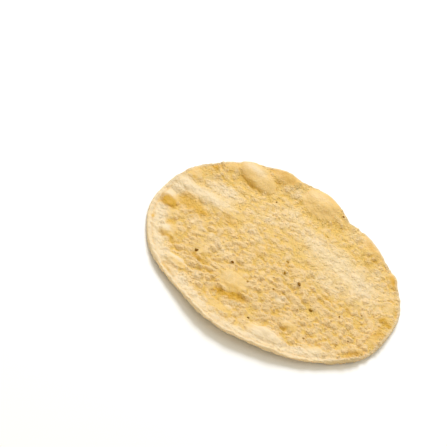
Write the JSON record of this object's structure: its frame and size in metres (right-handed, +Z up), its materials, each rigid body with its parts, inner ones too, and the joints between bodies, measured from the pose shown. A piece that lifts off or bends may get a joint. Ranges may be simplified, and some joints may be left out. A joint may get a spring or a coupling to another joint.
{
  "type": "papadum",
  "caption": "Fried papadum, a thin crisp round wafer with a turned-up rim, air blisters and a pebbly skin.",
  "frame": {"origin": "centre of the wafer's outline box, at the height that it rests on", "axes": "+Z up through the thin wafer, +X along its breadth, +Y towards the side with the largest blisters"},
  "size_m": [0.1706, 0.1726, 0.0075],
  "materials": {
    "crisp_dough": "matte golden fried crust"
  },
  "bodies": {
    "root": {"papadum": "crisp_dough"}
  },
  "joints": []
}
